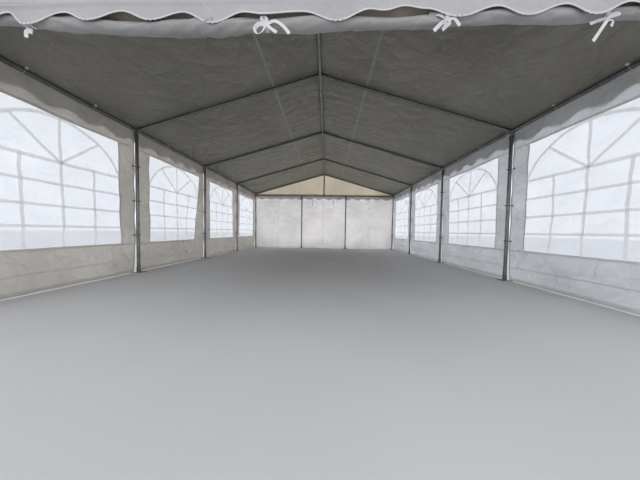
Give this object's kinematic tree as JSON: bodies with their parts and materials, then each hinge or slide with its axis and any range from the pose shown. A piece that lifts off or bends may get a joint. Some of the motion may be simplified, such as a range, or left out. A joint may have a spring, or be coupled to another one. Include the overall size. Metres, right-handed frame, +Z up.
{
  "type": "marquee tent",
  "caption": "Party marquee on a steel tube frame, with a pitched fabric roof, scalloped valances, windowed side walls and an open front with its wall rolled up.",
  "frame": {"origin": "on the ground, at the centre of the tent's plan", "axes": "+Z up, +Y from the open front along the ridge to the closed back, +X across to the right as seen from the open front"},
  "size_m": [6.09, 8.15, 3.205],
  "materials": {
    "galvanised_tube": "dull galvanised",
    "white_sheet": "coated, slightly glossy, lets light through",
    "clear_sheet": "clear, softly creased film"
  },
  "bodies": {
    "root": {"eave_rail_left": "galvanised_tube", "eave_rail_right": "galvanised_tube", "ridge_pole": "galvanised_tube", "tie_beam_front": "galvanised_tube", "tie_beam_back": "galvanised_tube", "king_post_front": "galvanised_tube", "king_post_back": "galvanised_tube", "gable_post_left": "galvanised_tube", "gable_post_right": "galvanised_tube", "post_left_1": "galvanised_tube", "post_left_2": "galvanised_tube", "post_left_3": "galvanised_tube", "post_left_4": "galvanised_tube", "post_left_5": "galvanised_tube", "post_right_1": "galvanised_tube", "post_right_2": "galvanised_tube", "post_right_3": "galvanised_tube", "post_right_4": "galvanised_tube", "post_right_5": "galvanised_tube", "rafter_left_1": "galvanised_tube", "rafter_left_2": "galvanised_tube", "rafter_left_3": "galvanised_tube", "rafter_left_4": "galvanised_tube", "rafter_left_5": "galvanised_tube", "rafter_right_1": "galvanised_tube", "rafter_right_2": "galvanised_tube", "rafter_right_3": "galvanised_tube", "rafter_right_4": "galvanised_tube", "rafter_right_5": "galvanised_tube", "roof_cover": "white_sheet", "gable_front": "white_sheet", "gable_back": "white_sheet", "back_wall": "white_sheet", "front_wall_roll": "white_sheet", "wall_left_1": "white_sheet", "wall_left_2": "white_sheet", "wall_left_3": "white_sheet", "wall_left_4": "white_sheet", "wall_right_1": "white_sheet", "wall_right_2": "white_sheet", "wall_right_3": "white_sheet", "wall_right_4": "white_sheet", "window_left_1": "clear_sheet", "window_left_2": "clear_sheet", "window_left_3": "clear_sheet", "window_left_4": "clear_sheet", "window_right_1": "clear_sheet", "window_right_2": "clear_sheet", "window_right_3": "clear_sheet", "window_right_4": "clear_sheet"}
  },
  "joints": []
}
